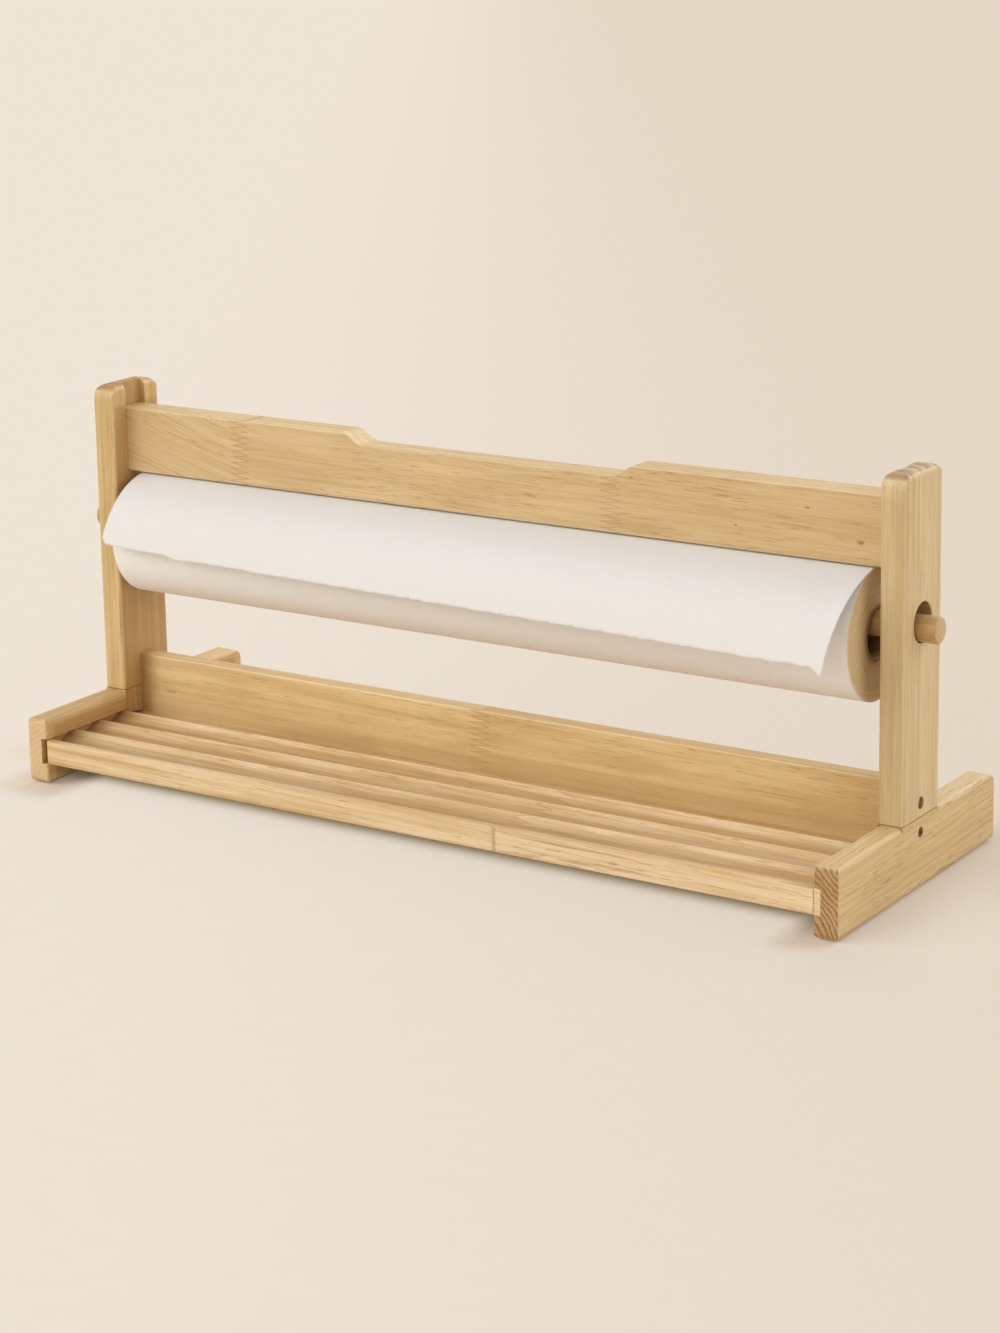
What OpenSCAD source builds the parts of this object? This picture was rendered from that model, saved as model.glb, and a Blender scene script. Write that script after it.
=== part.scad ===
// Tabletop paper roll dispenser: two wooden sides, a pen tray, a back panel, a lift-out rail
// and a roll of paper on a loose rod.
// Millimetres. X runs along the roll, the front faces -Y and the feet stand on Z = 0.

/* [Paper roll] */
// Width of the paper roll
roll_w = 450; // [300:1:600]
// Outer diameter of the wound paper
roll_d = 68.2; // [45:0.2:90]
// How far the roll lies to the right of the middle
roll_shift = -1.25; // [-2:0.25:2]
// Free width beside the roll, both ends together
side_play = 17; // [8:0.5:30]
// Bore of the cardboard core
core_bore = 24.8; // [18:0.1:32]
// Wall of the cardboard core
core_wall = 1.5; // [1:0.1:4]

/* [Loose sheet] */
// Thickness of the loose sheet's solid
sheet_t = 0.4; // [0.3:0.05:0.8]
// Gap that keeps the loose sheet off the roll and the rail
sheet_gap = 0.35; // [0.3:0.05:0.6]
// How far the sheet's left end stands off the roll at its free edge
sheet_lift_left = 10; // [4:0.5:30]
// How far the sheet's right end stands off the roll at its free edge
sheet_lift_right = 27; // [4:0.5:40]
// Angle round the roll at which the sheet's free edge lies, from the top
sheet_end_angle = 95; // [60:1:120]

/* [Rod] */
// Diameter of the rod
rod_d = 13.4; // [9:0.1:17]
// How far the rod stands out of the left side
rod_out_left = 12.9; // [5:0.1:30]
// How far the rod stands out of the right side
rod_out_right = 9.2; // [5:0.1:30]
// Chamfer on the rod's ends
rod_chamfer = 1; // [0.4:0.1:3]
// Diameter of the rod's holes in the uprights
hole_d = 20; // [18:0.5:26]
// Height of the rod's holes above the table
hole_z = 134.8; // [115:0.2:200]
// Chamfer on the rims of the rod's holes
hole_ease = 0.5; // [0.2:0.1:1.5]

/* [Feet] */
// Thickness of the boards that make the feet and the uprights
side_t = 13.5; // [12:0.5:20]
// Length of a foot, front to back
foot_len = 174; // [150:1:230]
// Height of a foot
foot_h = 37; // [35:0.5:50]
// Radius on a foot's upper long edges and upper front corner
foot_r = 3.2; // [1:0.1:5]
// Radius on a foot's edges and corners at the table
foot_base_r = 4.6; // [1:0.1:6]
// Radius on the top corner at the back of a foot
foot_heel_r = 9.5; // [3:0.5:12]
// Radius on the upright edges of a foot's ends
foot_end_r = 1.8; // [0.5:0.1:3]

/* [Uprights] */
// Depth of an upright, front to back
upright_d = 40; // [36:0.5:60]
// How far an upright rises above the rail
upright_over = 13.2; // [11:0.2:30]
// Radius on an upright's long edges
upright_r = 1.8; // [0.5:0.1:3]
// Radius of an upright's top corners, seen from the side
upright_top_r = 9; // [4:0.5:11]
// Radius of an upright's top corners, seen from the front
upright_crown_r = 4.5; // [1:0.5:6]

/* [Rail] */
// Thickness of the rail
rail_t = 16; // [10:0.5:22]
// Height of the rail
rail_h = 36; // [25:0.5:60]
// Radius on the rail's long edges
rail_r = 1.5; // [0.5:0.1:3]
// Depth of the groove that holds each end of the rail
groove_depth = 4; // [2:0.5:6]
// Side clearance of the rail in its grooves
groove_play = 0.2; // [0.1:0.05:0.5]
// End clearance of the rail in each groove
rail_end_play = 0.4; // [0.2:0.1:1]
// Length of the flat floor of the hand recess
recess_w = 149.5; // [80:0.5:220]
// Depth of the hand recess
recess_depth = 6.6; // [3:0.2:12]
// Length of each curved shoulder of the hand recess
recess_run = 17.3; // [14:0.1:40]
// How far the hand recess lies to the right of the middle
recess_shift = 2.4; // [-10:0.2:10]

/* [Back panel] */
// Thickness of the back panel
panel_t = 10; // [8:0.5:16]
// How far the back panel rises above the feet
panel_over = 18.25; // [12:0.25:40]
// Depth of the rebate in the shelf that the panel stands in
rebate_depth = 6.75; // [5.5:0.25:8]
// Radius on the panel's top edges
panel_r = 1.2; // [0.4:0.1:3]

/* [Pen shelf] */
// Thickness of the shelf
shelf_t = 13.5; // [12:0.5:18]
// Height of the shelf's underside above the table
shelf_z = 12; // [8:0.5:13]
// How far the shelf's front lies behind the front of the feet
shelf_setback = 0.2; // [0.1:0.1:5]
// Radius on the shelf's front edges
shelf_r = 1; // [0.3:0.1:1.5]
// Width of the flat lip along the shelf's front
lip_w = 3.3; // [2:0.1:12]
// Distance from one pen channel to the next
channel_pitch = 21.1; // [16:0.1:30]
// Depth of a pen channel
channel_depth = 5; // [3:0.1:5.2]
// Width of the flat crest between two channels
crest_w = 1.2; // [0.6:0.1:3]
// Depth of the housings in the feet for the shelf's ends and the corner blocks
dado_depth = 4; // [2.5:0.5:6]
// Clearance above the shelf in its housing
dado_play = 0.5; // [0.2:0.1:1]
// Clearance past the shelf's end and behind its back edge in its housing
tongue_play = 0.2; // [0.1:0.1:0.6]
// How far the left tongue is cut back from the shelf's front
tongue_setback_left = 5; // [0.4:0.2:12]
// How far the right tongue is cut back from the shelf's front
tongue_setback_right = 0.6; // [0.4:0.2:12]
// Depth of a corner block, front to back
block_d = 14; // [8:0.5:14.5]

/* [Screws and dowels] */
// Diameter of a screw's shank
screw_d = 3.2; // [2.5:0.1:4]
// Diameter of a screw's head
head_d = 5; // [4.6:0.1:5.2]
// Height of a screw's head
head_h = 2; // [1.5:0.1:3]
// How far a screw's head lies below the surface
screw_sink = 1.8; // [0.5:0.1:3]
// Length of a screw, head included
screw_len = 30; // [22:0.5:45]
// Width of the cross slot in a screw's head
drive_w = 0.9; // [0.5:0.1:1.2]
// Depth of the cross slot in a screw's head
drive_depth = 1; // [0.5:0.1:1.2]
// Distance from the joint between foot and upright to each screw
screw_off = 7.45; // [6:0.05:9]
// Diameter of the upper screws' recesses
upper_recess_d = 6.3; // [5.4:0.1:8]
// Diameter of the lower screws' recesses
lower_recess_d = 5.4; // [5.4:0.1:8]
// Diameter of the hidden dowels
dowel_d = 5; // [4:0.5:6]
// Length of the hidden dowels
dowel_len = 28; // [16:1:30]
// Distance between the two dowels of a side
dowel_pitch = 24; // [18:0.5:28]

/* [Clearances] */
// Gap that stands for a resting contact between curved pieces
rest_gap = 0.3; // [0.2:0.05:0.5]
// Radial clearance of screws, dowels and core in what holds them
snug = 0.05; // [0.02:0.01:0.15]

/* [Hidden] */
$fn = 96;

// Overshoot of a cutting shape past the face that it cuts
over = 1;
// Steps of the sheet round the roll and along it
sheet_rows = 16;
sheet_cols = 8;

inner_w = roll_w + side_play;
outer_w = inner_w + 2 * side_t;

rod_z = hole_z - (hole_d - rod_d) / 2 + rest_gap;
roll_z = rod_z + rod_d / 2 + rest_gap - core_bore / 2;
core_d = core_bore + 2 * core_wall;
rail_z = roll_z + roll_d / 2 + rest_gap;
top_z = rail_z + rail_h + upright_over;

panel_front = -panel_t / 2;
panel_z = shelf_z + shelf_t - rebate_depth;
panel_top = foot_h + panel_over;

dado_h = shelf_t + dado_play;
dado_end = panel_t / 2 + tongue_play;
tongue = dado_depth - tongue_play;
foot_front = -foot_len / 2;
shelf_front = foot_front + shelf_setback;
shelf_d = panel_t / 2 - shelf_front;
channel_chord = channel_pitch - crest_w;
channel_r = (pow(channel_chord / 2, 2) + pow(channel_depth, 2)) / (2 * channel_depth);
channel_count = ceil((shelf_d - lip_w - panel_t - channel_depth) / channel_pitch);

screw_heights = [foot_h - screw_off, foot_h + screw_off];
pilot_depth = screw_len + screw_sink - side_t + over;
dowel_x = (dado_depth + side_t) / 2;

sheet_start = acos((roll_d / 2 + rest_gap - sheet_gap) / (roll_d / 2 + sheet_gap + sheet_t));

oak = [0.86, 0.74, 0.54];
oak_dark = [0.80, 0.66, 0.46];
paper_white = [0.95, 0.94, 0.92];
card_brown = [0.66, 0.50, 0.33];
steel_grey = [0.55, 0.55, 0.56];

// A corner that is taken off with a round
module corner_cut(r) {
    if (r > 0)
        difference() {
            translate([-over, -over]) square(r + over);
            translate([r, r]) circle(r);
        }
}

// A rectangle with its own radius at each corner: near low, far low, far high, near high
module eased(w, h, r) {
    difference() {
        square([w, h]);
        corner_cut(r[0]);
        translate([w, 0]) mirror([1, 0]) corner_cut(r[1]);
        translate([w, h]) mirror([1, 0]) mirror([0, 1]) corner_cut(r[2]);
        translate([0, h]) mirror([0, 1]) corner_cut(r[3]);
    }
}

// An outline in Y and Z, drawn out along X
module along_x(length) {
    rotate([90, 0, 90]) linear_extrude(length) children();
}

// An outline in X and Z, drawn out along Y
module along_y(length) {
    translate([0, length, 0]) rotate([90, 0, 0]) linear_extrude(length) children();
}

// A round hole or bar along X
module bar_x(r, length) {
    rotate([0, 90, 0]) cylinder(r = r, h = length);
}

// Places a right-hand piece, whose inner face is at X = 0, on one side of the stand
module on_side(right) {
    mirror([right ? 0 : 1, 0, 0]) translate([inner_w / 2, 0, 0]) children();
}

// The stepped hole of one screw in a side board
module screw_hole(z, recess_d) {
    translate([-over, 0, z]) bar_x(screw_d / 2 + snug, side_t + 2 * over);
    translate([side_t - screw_sink - head_h, 0, z]) bar_x(recess_d / 2, screw_sink + head_h + over);
}

// Both dowel holes of one side, through the joint between foot and upright
module dowel_holes() {
    for (y = [-dowel_pitch / 2, dowel_pitch / 2])
        translate([dowel_x, y, foot_h - dowel_len / 2 - over / 2])
            cylinder(d = dowel_d + 2 * snug, h = dowel_len + over);
}

// A foot with its edges eased, but left square under the upright
module foot_blank() {
    intersection() {
        translate([0, foot_front - over, 0])
            along_y(foot_len + 2 * over) eased(side_t, foot_h, [foot_base_r, foot_base_r, foot_r, foot_r]);
        translate([-over, foot_front, 0])
            along_x(side_t + 2 * over)
                eased(foot_len, foot_h, [foot_base_r, foot_base_r, foot_heel_r, foot_r]);
        translate([0, foot_front, -over])
            linear_extrude(foot_h + 2 * over)
                eased(side_t, foot_len, [foot_end_r, foot_end_r, foot_end_r, foot_end_r]);
    }
    translate([0, -upright_d / 2, foot_h / 2]) cube([side_t, upright_d, foot_h / 2]);
}

module foot(right) {
    color(oak)
        on_side(right)
            difference() {
                foot_blank();
                translate([-over, foot_front - over, shelf_z])
                    cube([dado_depth + over, dado_end - foot_front + over, dado_h]);
                translate([-over, panel_front - block_d, shelf_z + dado_h])
                    cube([dado_depth + over, block_d, foot_h]);
                dowel_holes();
                screw_hole(screw_heights[0], lower_recess_d);
            }
}

module upright(right) {
    height = top_z - foot_h;
    color(oak)
        on_side(right)
            difference() {
                intersection() {
                    translate([0, -upright_d / 2 - over, foot_h])
                        along_y(upright_d + 2 * over)
                            eased(side_t, height, [0, 0, upright_crown_r, upright_crown_r]);
                    translate([-over, -upright_d / 2, foot_h])
                        along_x(side_t + 2 * over)
                            eased(upright_d, height, [0, 0, upright_top_r, upright_top_r]);
                    translate([0, -upright_d / 2, foot_h - over])
                        linear_extrude(height + 2 * over)
                            eased(side_t, upright_d, [upright_r, upright_r, upright_r, upright_r]);
                }
                translate([-over, -rail_t / 2 - groove_play, rail_z])
                    cube([groove_depth + over, rail_t + 2 * groove_play, top_z]);
                translate([-over, 0, hole_z]) bar_x(hole_d / 2, side_t + 2 * over);
                translate([0, 0, hole_z])
                    rotate([0, 90, 0]) cylinder(r1 = hole_d / 2 + hole_ease, r2 = hole_d / 2, h = hole_ease);
                translate([side_t - hole_ease, 0, hole_z])
                    rotate([0, 90, 0]) cylinder(r1 = hole_d / 2, r2 = hole_d / 2 + hole_ease, h = hole_ease);
                dowel_holes();
                screw_hole(screw_heights[1], upper_recess_d);
            }
}

// A strip let into the inner face of the foot, below the upright and in front of the panel
module block(right) {
    color(oak_dark)
        on_side(right)
            translate([0, panel_front - block_d, shelf_z + dado_h])
                cube([dado_depth, block_d, foot_h - shelf_z - dado_h]);
}

// The shelf seen from its end: round channels behind a flat lip, and a rebate for the panel
module shelf_outline() {
    difference() {
        translate([shelf_front, shelf_z]) eased(shelf_d, shelf_t, [shelf_r, 0, 0, shelf_r]);
        for (i = [0 : channel_count - 1])
            translate([
                shelf_front + lip_w + (i + 0.5) * channel_pitch - crest_w / 2,
                shelf_z + shelf_t - channel_depth + channel_r
            ])
                circle(channel_r);
        translate([panel_front, panel_z]) square([panel_t + over, shelf_t]);
    }
}

module shelf() {
    color(oak)
        difference() {
            translate([-inner_w / 2 - tongue, 0, 0]) along_x(inner_w + 2 * tongue) shelf_outline();
            for (right = [true, false])
                let (setback = right ? tongue_setback_right : tongue_setback_left)
                    on_side(right)
                        translate([0, shelf_front - over, shelf_z - over])
                            cube([tongue + over, setback + over, shelf_t + 2 * over]);
        }
}

module back_panel() {
    color(oak)
        difference() {
            translate([-inner_w / 2, panel_front, panel_z])
                along_x(inner_w) eased(panel_t, panel_top - panel_z, [0, 0, panel_r, panel_r]);
            for (right = [true, false])
                for (z = screw_heights)
                    on_side(right)
                        translate([-pilot_depth, 0, z]) bar_x(screw_d / 2 + snug, pilot_depth + over);
        }
}

module screw() {
    difference() {
        union() {
            translate([-screw_len, 0, 0]) bar_x(screw_d / 2, screw_len - head_h);
            translate([-head_h, 0, 0]) bar_x(head_d / 2, head_h);
        }
        for (turn = [0, 90])
            rotate([turn, 0, 0])
                translate([-drive_depth, -drive_w / 2, -head_d * 0.35])
                    cube([drive_depth + over, drive_w, head_d * 0.7]);
    }
}

module screws() {
    color(steel_grey)
        for (right = [true, false])
            for (z = screw_heights)
                on_side(right) translate([side_t - screw_sink, 0, z]) screw();
}

module dowels() {
    color(oak_dark)
        for (right = [true, false])
            for (y = [-dowel_pitch / 2, dowel_pitch / 2])
                on_side(right)
                    translate([dowel_x, y, foot_h - dowel_len / 2]) cylinder(d = dowel_d, h = dowel_len);
}

// Half of the hand recess, right of its middle: two arcs of one radius make the shoulder
module half_recess() {
    half_run = recess_run / 2;
    half_depth = recess_depth / 2;
    shoulder_r = (pow(half_run, 2) + pow(half_depth, 2)) / (2 * half_depth);
    square([recess_w / 2, recess_depth + over]);
    intersection() {
        translate([recess_w / 2, shoulder_r]) circle(shoulder_r);
        translate([recess_w / 2, 0]) square([half_run, half_depth]);
    }
    difference() {
        translate([recess_w / 2, half_depth]) square([recess_run, half_depth + over]);
        translate([recess_w / 2 + recess_run, recess_depth - shoulder_r]) circle(shoulder_r);
    }
}

module top_rail() {
    length = inner_w + 2 * (groove_depth - rail_end_play);
    color(oak)
        difference() {
            translate([-length / 2, -rail_t / 2, rail_z])
                along_x(length) eased(rail_t, rail_h, [rail_r, rail_r, rail_r, rail_r]);
            translate([recess_shift, -rail_t / 2 - over, rail_z + rail_h - recess_depth])
                along_y(rail_t + 2 * over)
                    for (flip = [0, 1])
                        mirror([flip, 0]) half_recess();
        }
}

module rod() {
    length = outer_w + rod_out_left + rod_out_right;
    color(oak_dark)
        translate([-outer_w / 2 - rod_out_left, 0, rod_z])
            rotate([0, 90, 0]) {
                cylinder(r1 = rod_d / 2 - rod_chamfer, r2 = rod_d / 2, h = rod_chamfer);
                translate([0, 0, rod_chamfer]) cylinder(d = rod_d, h = length - 2 * rod_chamfer);
                translate([0, 0, length - rod_chamfer])
                    cylinder(r1 = rod_d / 2, r2 = rod_d / 2 - rod_chamfer, h = rod_chamfer);
            }
}

// A tube along X with the roll's width and place
module roll_tube(outer_r, inner_r) {
    translate([roll_shift - roll_w / 2, 0, roll_z])
        difference() {
            bar_x(outer_r, roll_w);
            translate([-over, 0, 0]) bar_x(inner_r, roll_w + 2 * over);
        }
}

module core() {
    color(card_brown) roll_tube(core_d / 2, core_bore / 2);
}

module winding() {
    color(paper_white) roll_tube(roll_d / 2, core_d / 2 + snug);
}

// A point of the loose sheet: u runs from the rail to the free edge, v from left to right,
// and layer is 0 on the face towards the roll and 1 on the outer face
function sheet_point(u, v, layer) =
    let (angle = sheet_start + (sheet_end_angle - sheet_start) * u)
    let (lift = (sheet_lift_left + (sheet_lift_right - sheet_lift_left) * v) * u * u)
    let (radius = roll_d / 2 + sheet_gap + lift + layer * sheet_t)
    [roll_shift + (v - 0.5) * roll_w, -radius * sin(angle), roll_z + radius * cos(angle)];

// The ring of points round the sheet's section at one place along the roll
function sheet_ring(v) = concat(
    [for (i = [0 : sheet_rows]) sheet_point(i / sheet_rows, v, 0)],
    [for (i = [sheet_rows : -1 : 0]) sheet_point(i / sheet_rows, v, 1)]
);

module sheet() {
    ring = 2 * (sheet_rows + 1);
    points = [for (j = [0 : sheet_cols]) each sheet_ring(j / sheet_cols)];
    skin = [
        for (j = [0 : sheet_cols - 1])
            for (i = [0 : ring - 1])
                let (next = (i + 1) % ring)
                for (face = [
                    [j * ring + i, j * ring + next, (j + 1) * ring + i],
                    [j * ring + next, (j + 1) * ring + next, (j + 1) * ring + i]
                ])
                    face
    ];
    // Each end is a strip of triangles between the two layers
    ends = [
        for (j = [0, sheet_cols])
            for (i = [0 : sheet_rows - 1])
                let (a = j * ring + i)
                let (b = a + 1)
                let (c = j * ring + ring - 2 - i)
                let (d = c + 1)
                for (face = j == 0 ? [[a, c, b], [a, d, c]] : [[a, b, c], [a, c, d]])
                    face
    ];
    color(paper_white) polyhedron(points = points, faces = concat(skin, ends));
}

foot(false);  // left_foot
foot(true);  // right_foot
upright(false);  // left_upright
upright(true);  // right_upright
block(false);  // left_block
block(true);  // right_block
shelf();
back_panel();
screws();
dowels();
top_rail();
rod();
core();
winding();
sheet();
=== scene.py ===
import math
from collections import namedtuple
import bmesh
import bpy
from mathutils import Matrix, Vector, noise


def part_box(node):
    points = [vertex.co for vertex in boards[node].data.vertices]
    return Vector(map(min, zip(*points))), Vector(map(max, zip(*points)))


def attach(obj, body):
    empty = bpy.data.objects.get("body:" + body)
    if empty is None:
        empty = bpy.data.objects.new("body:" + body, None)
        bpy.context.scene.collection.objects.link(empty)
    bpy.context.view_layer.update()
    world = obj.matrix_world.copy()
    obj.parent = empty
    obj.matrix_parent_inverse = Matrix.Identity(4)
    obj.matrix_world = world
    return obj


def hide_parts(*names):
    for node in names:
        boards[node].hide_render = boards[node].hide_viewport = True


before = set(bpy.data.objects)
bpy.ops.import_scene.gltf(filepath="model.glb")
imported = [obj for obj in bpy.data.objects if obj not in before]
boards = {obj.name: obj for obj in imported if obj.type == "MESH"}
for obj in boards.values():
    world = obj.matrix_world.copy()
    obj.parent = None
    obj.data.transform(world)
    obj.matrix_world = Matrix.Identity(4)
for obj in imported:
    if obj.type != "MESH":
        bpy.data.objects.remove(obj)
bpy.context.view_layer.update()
print("stand loaded:", len(boards), "pieces")


def newObject(name, data):
    made = bpy.data.objects.new(name, data)
    bpy.context.scene.collection.objects.link(made)
    return made


# Camera, as the photograph was framed
viewpoint = {
    "yaw": 33.15, "pitch": 12.68, "roll": -0.97,  # degrees
    "distance": 1.62459,
    "lookAt": (0.00677, 0.0, 0.16856),
    "focalPixels": 3149.67,
    "lensCentre": (500, 500), "picture": (1000, 1333),  # pixels
}


def placeCamera(values):
    yaw, pitch, roll = (math.radians(values[k]) for k in ("yaw", "pitch", "roll"))
    ahead = Vector((-math.sin(yaw) * math.cos(pitch), math.cos(yaw) * math.cos(pitch), -math.sin(pitch)))
    right = Vector((math.cos(yaw), math.sin(yaw), 0))
    up = right.cross(ahead)
    rightRolled = math.cos(roll) * right + math.sin(roll) * up
    upRolled = math.cos(roll) * up - math.sin(roll) * right
    wide, high = values["picture"]
    data = bpy.data.cameras.new("viewCamera")
    data.sensor_width = 36
    data.lens = values["focalPixels"] * data.sensor_width / high
    data.shift_x = (wide / 2 - values["lensCentre"][0]) / high
    data.shift_y = (values["lensCentre"][1] - high / 2) / high
    data.clip_start, data.clip_end = 0.05, 60
    camera = newObject("viewCamera", data)
    turn = Matrix((rightRolled, upRolled, -ahead)).transposed().to_4x4()
    turn.translation = Vector(values["lookAt"]) - values["distance"] * ahead
    camera.matrix_world = turn
    bpy.context.scene.camera = camera


placeCamera(viewpoint)


# Node trees are written as plain sums. A nodeValue stands for a number, vector or colour in a tree,
# and every sum or function of it adds the node that works it out.
class nodeValue:
    def __init__(self, socket):
        self.socket = socket

    def __add__(self, other):
        return calc("ADD", self, other)

    def __sub__(self, other):
        return calc("SUBTRACT", self, other)

    def __rsub__(self, other):
        return calc("SUBTRACT", other, self)

    def __mul__(self, other):
        return calc("MULTIPLY", self, other)

    def __truediv__(self, other):
        return calc("DIVIDE", self, other)

    def __rtruediv__(self, other):
        return calc("DIVIDE", other, self)

    def __abs__(self):
        return calc("ABSOLUTE", self)


axes = namedtuple("axes", "x y z")


def treeOf(*values):
    return next(v.socket.id_data for v in values if isinstance(v, nodeValue))


def feed(value, socket):
    source = getattr(value, "socket", value)
    if isinstance(source, bpy.types.NodeSocket):
        socket.id_data.links.new(source, socket)
    else:
        socket.default_value = value


def feedAll(values, sockets):
    for value, socket in zip(values, sockets):
        feed(value, socket)


def calc(operation, *values):
    isVector = any(isinstance(v, nodeValue) and v.socket.type == "VECTOR" for v in values)
    node = treeOf(*values).nodes.new("ShaderNodeVectorMath" if isVector else "ShaderNodeMath")
    node.operation = operation
    feedAll(values, node.inputs)
    result = "Vector" if isVector and operation not in ("LENGTH", "DOT_PRODUCT") else "Value"
    return nodeValue(node.outputs[result])


def most(first, *others):
    # the largest of the values
    for other in others:
        first = calc("MAXIMUM", first, other)
    return first


def coordinate(tree, kind="Object"):
    return nodeValue(tree.nodes.new("ShaderNodeTexCoord").outputs[kind])


def split(vector):
    node = treeOf(vector).nodes.new("ShaderNodeSeparateXYZ")
    feed(vector, node.inputs[0])
    return axes(*(nodeValue(socket) for socket in node.outputs))


def gather(x=0.0, y=0.0, z=0.0):
    node = treeOf(x, y, z).nodes.new("ShaderNodeCombineXYZ")
    feedAll((x, y, z), node.inputs)
    return nodeValue(node.outputs[0])


def ramp(value, low, high, toLow=0.0, toHigh=1.0, smooth=True):
    # value from low to high becomes toLow to toHigh, and stays there beyond
    node = treeOf(value).nodes.new("ShaderNodeMapRange")
    node.interpolation_type = "SMOOTHSTEP" if smooth else "LINEAR"
    feedAll((value, low, high, toLow, toHigh), node.inputs)
    return nodeValue(node.outputs[0])


def speckle(vector, repeats, detail=2.0, roughness=0.5):
    # cloudy noise from 0 to 1, with so many repeats to the metre each way
    node = treeOf(vector).nodes.new("ShaderNodeTexNoise")
    feed(vector * repeats, node.inputs["Vector"])
    node.inputs["Scale"].default_value = 1.0
    node.inputs["Detail"].default_value = detail
    node.inputs["Roughness"].default_value = roughness
    return nodeValue(node.outputs[0])


def tint(factor, first, second, mode="MIX"):
    node = treeOf(factor, first, second).nodes.new("ShaderNodeMix")
    node.data_type, node.blend_type = "RGBA", mode
    for place, value in ((0, factor), (6, first), (7, second)):
        feed(value, node.inputs[place])
    return nodeValue(node.outputs[2])


def srgb(red, green, blue):
    # a colour given on the usual scale from 0 to 255
    parts = [c / 255 for c in (red, green, blue)]
    return tuple(c / 12.92 if c <= 0.04045 else ((c + 0.055) / 1.055) ** 2.4 for c in parts) + (1.0,)


def newGroup(name, treeKind, inputs, outputs):
    # inputs and outputs: name, kind of value and default; a name alone is a number without a default
    tree = bpy.data.node_groups.new(name, treeKind)
    for way, rows in (("INPUT", inputs), ("OUTPUT", outputs)):
        for row in rows:
            label, kind, *default = row if isinstance(row, tuple) else (row, "Float")
            made = tree.interface.new_socket(name=label, in_out=way, socket_type="NodeSocket" + kind)
            if default:
                made.default_value = default[0]
    given = {socket.name: nodeValue(socket) for socket in tree.nodes.new("NodeGroupInput").outputs}
    return tree, given, tree.nodes.new("NodeGroupOutput").inputs


def useGroup(tree, group, **values):
    # values are named like the group's inputs, with the spaces left out
    node = tree.nodes.new("ShaderNodeGroup")
    node.node_tree = group
    for socket in node.inputs:
        key = socket.name.replace(" ", "")
        key = key[0].lower() + key[1:]
        if key in values:
            feed(values.pop(key), socket)
    if values:
        raise ValueError(f"{group.name} has no input for {sorted(values)}")
    return {socket.name: nodeValue(socket) for socket in node.outputs}


def newFinish(name, roughness=0.5, bump=0.0001):
    # an empty material with its shader and a bump waiting for a height
    finish = bpy.data.materials.new(name)
    finish.use_nodes = True
    tree = finish.node_tree
    shader = tree.nodes["Principled BSDF"]
    shader.inputs["Roughness"].default_value = roughness
    relief = tree.nodes.new("ShaderNodeBump")
    relief.inputs["Strength"].default_value = 1.0
    relief.inputs["Distance"].default_value = bump
    feed(relief.outputs[0], shader.inputs["Normal"])
    return finish, tree, shader.inputs, relief.inputs["Height"]


# Timber: growth rings round a pith line outside the board, fibres, pores and drifting tone.
# The grain runs along X once the board's coordinates have been turned.
grainRepeats = {  # to the metre, along and across the grain
    "drift": (4, 26, 26), "wobble": (22, 120, 120), "kink": (22, 330, 330), "stripe": (4, 210, 210),
    "streak": (14, 560, 560), "hair": (60, 1700, 1700), "cloud": (13, 50, 50), "patch": (14, 60, 60),
    "pit": (85, 1450, 1450), "vein": (16, 620, 620),
}
ringBend = {"drift": 0.016, "wobble": 0.0024, "kink": 0.0024}  # how far, in metres, the rings wander
# the pale of sanded arrises and sawn ends, and of painted highlights on arrises and crests
paleAndHighlightColour = (1.0, 0.9, 0.72, 1.0)
oil = {"relief": 0.00012, "coat": 0.12, "coatRoughness": 0.35}


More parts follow.
